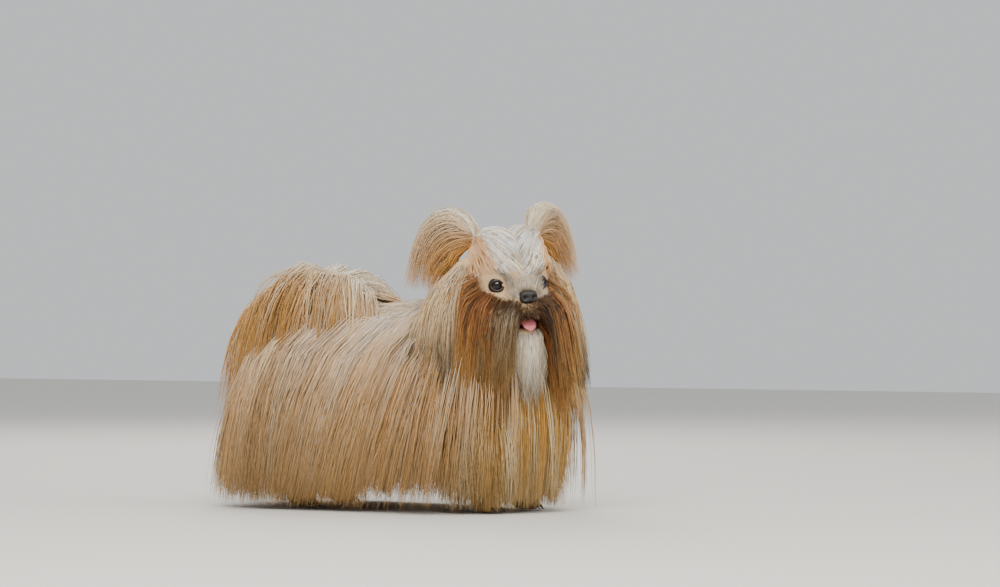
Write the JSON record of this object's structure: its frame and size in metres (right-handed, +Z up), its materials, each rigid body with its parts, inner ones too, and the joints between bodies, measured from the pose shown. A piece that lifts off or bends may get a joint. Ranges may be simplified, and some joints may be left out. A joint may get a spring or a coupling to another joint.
{
  "type": "shih tzu dog",
  "caption": "Life-size shih tzu standing in full floor-length show coat, with its head turned to the side and its hair tied up in bunches.",
  "frame": {"origin": "middle of the box round the whole dog, on the floor that its paws stand on", "axes": "+X towards the dog's front, +Y to its own left, +Z up"},
  "size_m": [0.5336, 0.2736, 0.4071],
  "materials": {
    "coat_cream": "cream and tan hair",
    "coat_gold": "golden hair with pale streaks",
    "coat_pale": "white and grey hair",
    "nose_leather": "moist black nose skin",
    "eyes": "wet and dark",
    "tongue": "moist pink"
  },
  "bodies": {
    "root": {"nose": "nose_leather", "tongue": "tongue", "eye_right": "eyes", "eye_left": "eyes", "head": "coat_pale", "jaw": "coat_pale", "topknot_right": "coat_gold", "topknot_left": "coat_gold", "torso_right": "coat_cream", "torso_left": "coat_cream", "chest": "coat_gold", "ear_right": "coat_cream", "ear_left": "coat_cream", "neck": "coat_cream", "leg_front_right": "coat_cream", "leg_front_left": "coat_cream", "leg_hind_right": "coat_cream", "leg_hind_left": "coat_cream", "tail": "coat_gold"}
  },
  "joints": []
}
